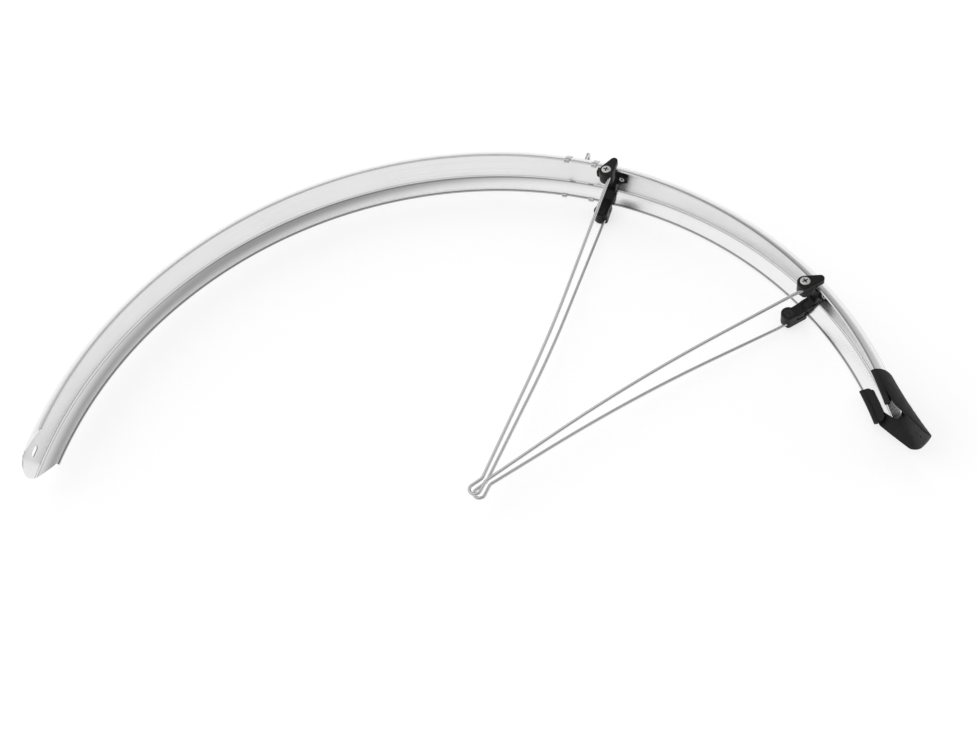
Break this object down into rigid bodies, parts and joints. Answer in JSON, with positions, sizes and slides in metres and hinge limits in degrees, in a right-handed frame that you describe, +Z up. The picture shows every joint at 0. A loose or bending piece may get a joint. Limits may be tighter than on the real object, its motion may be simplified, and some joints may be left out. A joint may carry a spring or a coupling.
{
  "type": "bicycle mudguard",
  "caption": "Rear bicycle mudguard lying on its side: polished aluminium blade, black stay bridges, V-shaped wire stays, brake bridge clip and rubber flap.",
  "frame": {"origin": "centre of the bounding box's floor, the plane that the mudguard lies on", "axes": "+X towards the rear end with the flap, +Y towards the blade's crown, +Z up, out of the near side"},
  "size_m": [0.7442, 0.369, 0.0648],
  "materials": {
    "polished_aluminium": "polished",
    "stay_wire": "bright drawn",
    "clip_steel": "bright",
    "bright_zinc": "bright zinc",
    "black_steel": "black oxide",
    "black_plastic": "moulded",
    "black_rubber": "matte"
  },
  "bodies": {
    "root": {"mudguard_blade": "polished_aluminium", "brake_bridge_clip": "clip_steel", "mud_flap": "black_rubber", "near_stay": "stay_wire", "far_stay": "stay_wire", "upper_stay_bridge": "black_plastic", "upper_near_clamp_cap": "black_plastic", "upper_near_clamp_screw": "bright_zinc", "upper_near_clamp_nut": "black_steel", "upper_far_clamp_cap": "black_plastic", "upper_far_clamp_screw": "bright_zinc", "upper_far_clamp_nut": "black_steel", "upper_rear_eyelet": "bright_zinc", "upper_front_eyelet": "bright_zinc", "lower_stay_bridge": "black_plastic", "lower_near_clamp_cap": "black_plastic", "lower_near_clamp_screw": "bright_zinc", "lower_near_clamp_nut": "black_steel", "lower_far_clamp_cap": "black_plastic", "lower_far_clamp_screw": "bright_zinc", "lower_far_clamp_nut": "black_steel", "lower_rear_eyelet": "bright_zinc", "lower_front_eyelet": "bright_zinc"}
  },
  "joints": []
}
